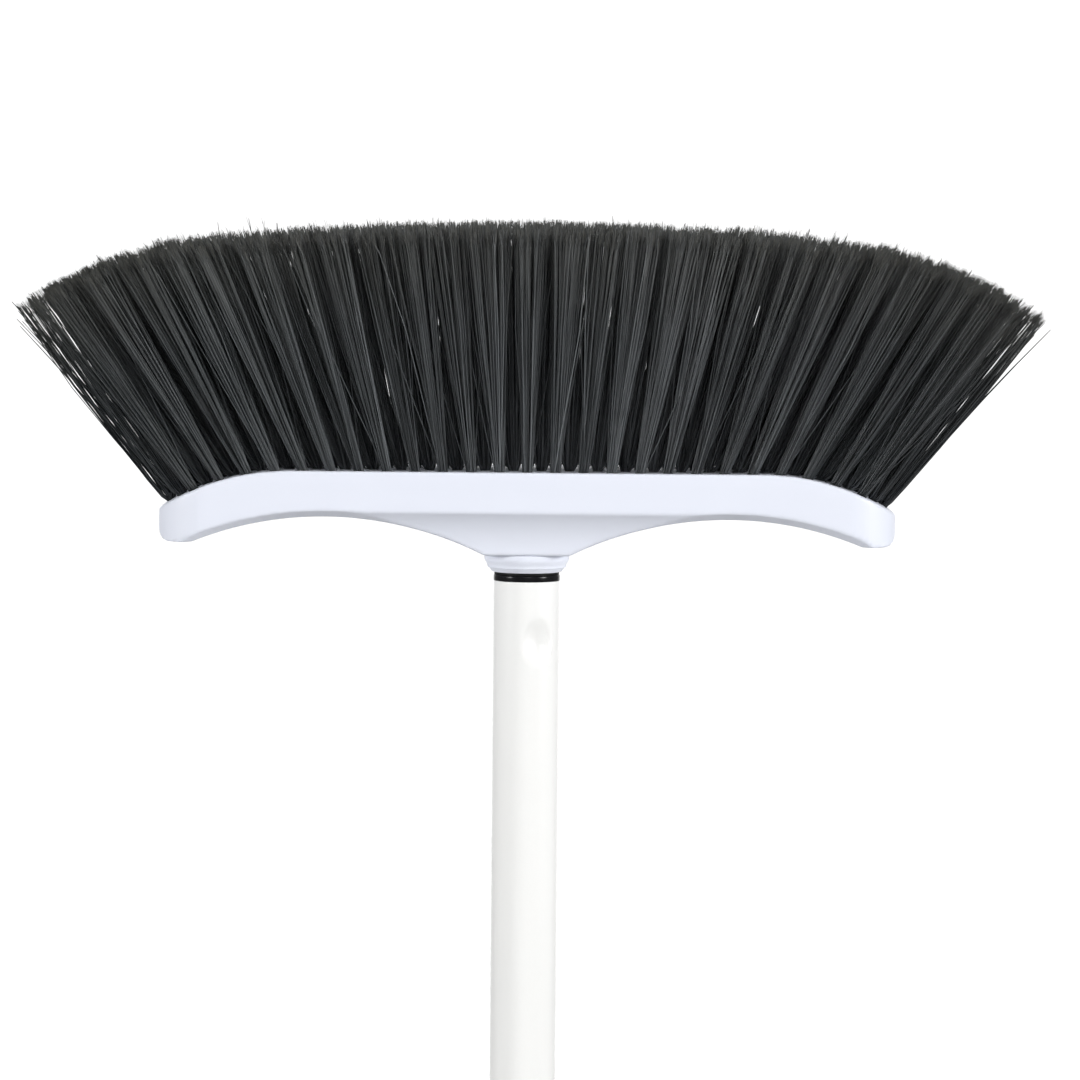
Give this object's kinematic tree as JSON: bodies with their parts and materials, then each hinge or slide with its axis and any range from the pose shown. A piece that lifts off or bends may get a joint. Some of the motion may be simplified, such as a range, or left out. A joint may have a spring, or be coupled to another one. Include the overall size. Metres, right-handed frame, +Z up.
{
  "type": "household broom",
  "caption": "Upright broom: curved moulded block with fanned, flagged bristle tufts and a stepped threaded collar, screwed onto a coated tube handle with a hanging cap.",
  "frame": {"origin": "on the axis of the handle, at the lowest point of the end cap", "axes": "+Z up the handle from the end cap to the bristle tips, +X along the head, +Y across the head towards the back"},
  "size_m": [0.3716, 0.0836, 1.3053],
  "materials": {
    "block_plastic": "moulded plastic, pale lavender white, satin",
    "washer_rubber": "black rubber, matt",
    "plug_plastic": "black moulded plastic, glossy",
    "coated_steel": "steel tube in a smooth white coat, semi-gloss",
    "bristle": "charcoal synthetic filaments with flagged tips",
    "anchor_wire": "flat galvanised wire"
  },
  "bodies": {
    "handle": {"handle_tube": "coated_steel", "threaded_plug": "plug_plastic", "end_cap": "plug_plastic"},
    "washer": {"seating_washer": "washer_rubber"},
    "head": {"brush_block": "block_plastic", "threaded_socket": "block_plastic", "tuft_row_1": "bristle", "tuft_row_2": "bristle", "tuft_row_3": "bristle", "tuft_row_4": "bristle", "tuft_row_5": "bristle", "anchor_row_1": "anchor_wire", "anchor_row_2": "anchor_wire", "anchor_row_3": "anchor_wire", "anchor_row_4": "anchor_wire", "anchor_row_5": "anchor_wire"}
  },
  "joints": [
    {"name": "head_lift", "type": "slide", "parent": "handle", "child": "washer", "axis": [0, 0, 1], "range_m": [0, 0.0179]},
    {"name": "head_turn", "type": "hinge", "parent": "washer", "child": "head", "pos_m": [0, 0, 1.1792], "axis": [0, 0, 1], "range_deg": [0, 1260]}
  ],
  "couplings": [
    {"joint": "head_lift", "follows": "head_turn", "m_per_rad": 0.00080851}
  ]
}
